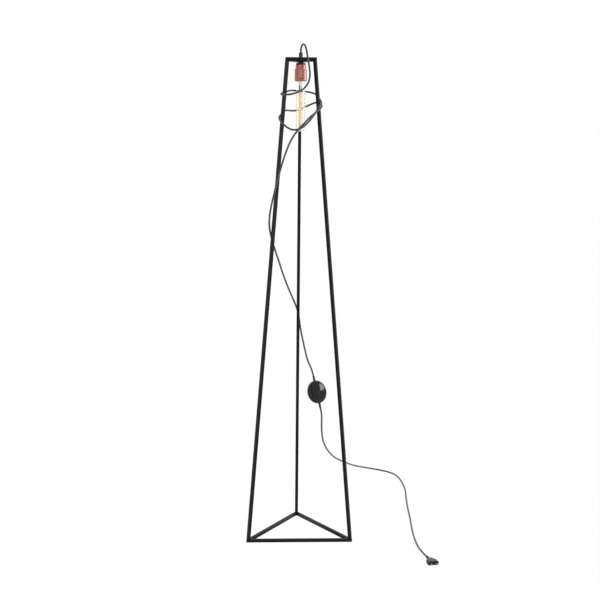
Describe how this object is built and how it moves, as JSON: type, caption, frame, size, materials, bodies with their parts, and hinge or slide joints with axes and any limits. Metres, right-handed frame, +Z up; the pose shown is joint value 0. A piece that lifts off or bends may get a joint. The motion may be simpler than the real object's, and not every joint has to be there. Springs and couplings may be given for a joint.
{
  "type": "floor lamp",
  "caption": "Open three-sided pyramid of black square steel bar; a copper lamp holder hangs inside its top with a long tubular bulb, and a striped fabric cord winds round the legs.",
  "frame": {"origin": "on the floor at the middle of the frame's box, seen from above; the upright axis of holder and bulb is at x = 0, y = -48.3 mm", "axes": "+Z up; -Y is the side with the front bar of the base, which faces the camera; +X to the viewer's right"},
  "size_m": [0.59, 1.0777, 1.5877],
  "materials": {
    "black_steel": "satin",
    "zinc_steel": "satin",
    "lamp_wire": "satin",
    "black_plastic": "satin",
    "gloss_plastic": "gloss",
    "soft_black": "matte",
    "copper": "polished",
    "porcelain": "gloss",
    "brass": "satin",
    "lead_insulation": "satin",
    "clear_glass": "gloss",
    "stem_glass": "gloss",
    "black_glass": "gloss",
    "filament": "matte",
    "fabric_cord": "matte"
  },
  "bodies": {
    "stand": {"base_bar_front": "black_steel", "base_bar_right": "black_steel", "base_bar_left": "black_steel", "top_bar_front": "black_steel", "top_bar_right": "black_steel", "top_bar_left": "black_steel", "leg_rear": "black_steel", "leg_left": "black_steel", "leg_right": "black_steel", "carrier_plate": "black_steel", "threaded_nipple": "zinc_steel", "upper_nut": "zinc_steel", "lower_nut": "zinc_steel", "cord_grip_screw": "zinc_steel", "holder_shell_screw": "zinc_steel", "switch_screws": "zinc_steel", "switch_spring": "zinc_steel", "cord_grip_body": "black_plastic", "cord_grip_cap": "black_plastic", "holder_disc": "black_plastic", "holder_shell": "copper", "holder_barrel": "copper", "porcelain_insert": "porcelain", "screw_shell": "brass", "centre_contact": "brass", "holder_terminals": "brass", "switch_contacts": "brass", "plug_pins": "brass", "holder_leads": "lead_insulation", "switch_base": "gloss_plastic", "switch_cover": "gloss_plastic", "plug_body": "gloss_plastic", "switch_relief_upper": "soft_black", "switch_relief_lower": "soft_black", "plug_relief": "soft_black", "cord_upper": "fabric_cord", "cord_lower": "fabric_cord", "cord_inner_end": "fabric_cord"},
    "bulb": {"bulb_glass": "clear_glass", "bulb_cap": "brass", "bulb_insulator": "black_glass", "bulb_contact": "brass", "bulb_stem": "stem_glass", "bulb_support_wires": "lamp_wire", "bulb_filament": "filament"},
    "button": {"switch_button": "gloss_plastic", "switch_bridge": "brass"}
  },
  "joints": [
    {"name": "bulb_draw", "type": "slide", "parent": "stand", "child": "bulb", "axis": [0, 0, -1], "range_m": [0, 0.03]},
    {"name": "button_press", "type": "slide", "parent": "stand", "child": "button", "axis": [-0.0474, 0.987, 0.1534], "range_m": [0, 0.003], "stiffness_N_per_m": 800}
  ]
}
